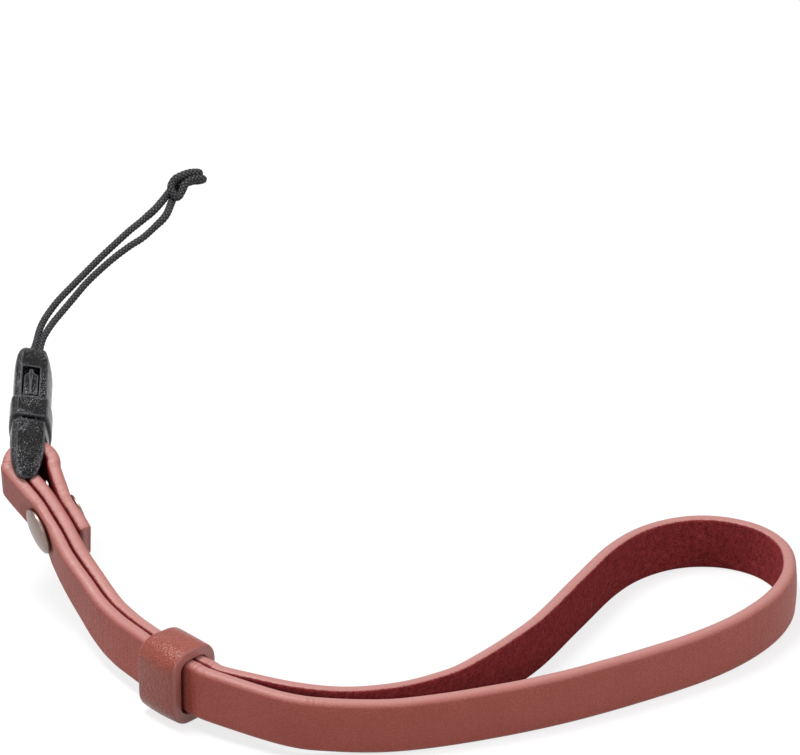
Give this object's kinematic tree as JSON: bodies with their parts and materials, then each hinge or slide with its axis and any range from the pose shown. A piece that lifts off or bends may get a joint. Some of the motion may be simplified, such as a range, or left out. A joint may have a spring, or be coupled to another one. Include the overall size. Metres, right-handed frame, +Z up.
{
  "type": "camera wrist strap",
  "caption": "Leather wrist strap for a compact camera, with a sliding keeper loop, a riveted fold and a side-release buckle on a thin cord that hitches to the camera's lug.",
  "frame": {"origin": "the middle of the camera lug's eye that the cord is hitched to", "axes": "+Z up, +X from the buckle towards the far end of the wrist loop, +Y away from the viewer, towards the camera's side of the strap"},
  "size_m": [0.1365, 0.11, 0.0566],
  "materials": {
    "strap_leather": "smooth dyed brick-red grain, rough dark red flesh side",
    "keeper_leather": "glossed red-brown grain",
    "rivet_metal": "warm nickel plating, satin",
    "buckle_plastic": "black, finely textured",
    "cord_braid": "fine black braid"
  },
  "bodies": {
    "camera_side": {"buckle_socket": "buckle_plastic", "lug_cord": "cord_braid", "cord_knot": "cord_braid"},
    "strap_side": {"buckle_plug": "buckle_plastic", "leather_strap": "strap_leather", "rivet_cap": "rivet_metal", "rivet_base": "rivet_metal"},
    "keeper": {"keeper_loop": "keeper_leather"}
  },
  "joints": [
    {"name": "buckle_release", "type": "slide", "parent": "camera_side", "child": "strap_side", "axis": [-0.0279, -0.8477, -0.5297], "range_m": [0, 0.0105], "deforming": ["buckle_plug"]},
    {"name": "keeper_slide", "type": "hinge", "parent": "strap_side", "child": "keeper", "pos_m": [0.04813, -0.04676, -0.0473], "axis": [0, 0, 1], "range_deg": [-4, 4]}
  ]
}
